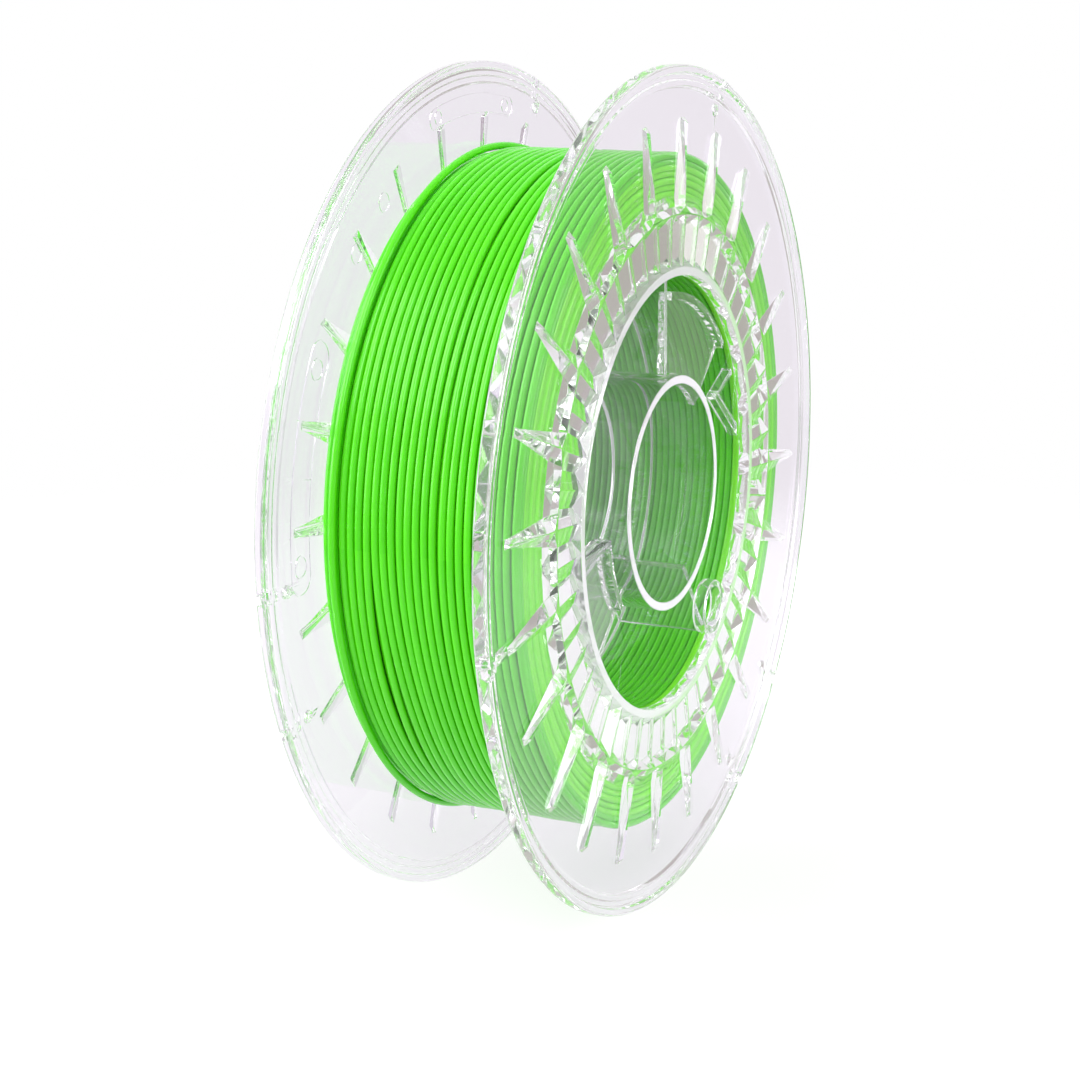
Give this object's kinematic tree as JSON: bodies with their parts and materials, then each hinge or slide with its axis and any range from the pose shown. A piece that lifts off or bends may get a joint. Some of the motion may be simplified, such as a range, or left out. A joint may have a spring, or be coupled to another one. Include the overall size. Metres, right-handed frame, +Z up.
{
  "type": "filament spool",
  "caption": "Clear plastic spool with star-relief flanges and a hollow latched hub, wound with 3D-printer filament, to run on a spindle.",
  "frame": {"origin": "centre of the hub, on the spindle axis halfway between the two flanges", "axes": "+Y along the spindle axis towards the far flange, +Z straight up out of the spool as it stands on its rims, +X to the side"},
  "size_m": [0.2, 0.054, 0.2],
  "materials": {
    "clear_plastic": "clear injection-moulded polystyrene, glossy, faint lilac tint",
    "green_filament": "vivid green satin filament, 1.75 mm strand"
  },
  "bodies": {
    "root": {"drum_far": "clear_plastic", "drum_near": "clear_plastic", "filament_winding": "green_filament", "latch_eye_far": "clear_plastic", "latch_eye_near": "clear_plastic", "latch_hook_far": "clear_plastic", "latch_hook_near": "clear_plastic", "latch_plate_a_far": "clear_plastic", "latch_plate_a_near": "clear_plastic", "latch_plate_b_far": "clear_plastic", "latch_plate_b_near": "clear_plastic", "rib_1_far": "clear_plastic", "rib_1_near": "clear_plastic", "rib_2_far": "clear_plastic", "rib_2_near": "clear_plastic", "rib_3_far": "clear_plastic", "rib_3_near": "clear_plastic", "rim_far": "clear_plastic", "rim_near": "clear_plastic", "spindle_tube_far": "clear_plastic", "spindle_tube_near": "clear_plastic", "web_far": "clear_plastic", "web_near": "clear_plastic"}
  },
  "joints": []
}
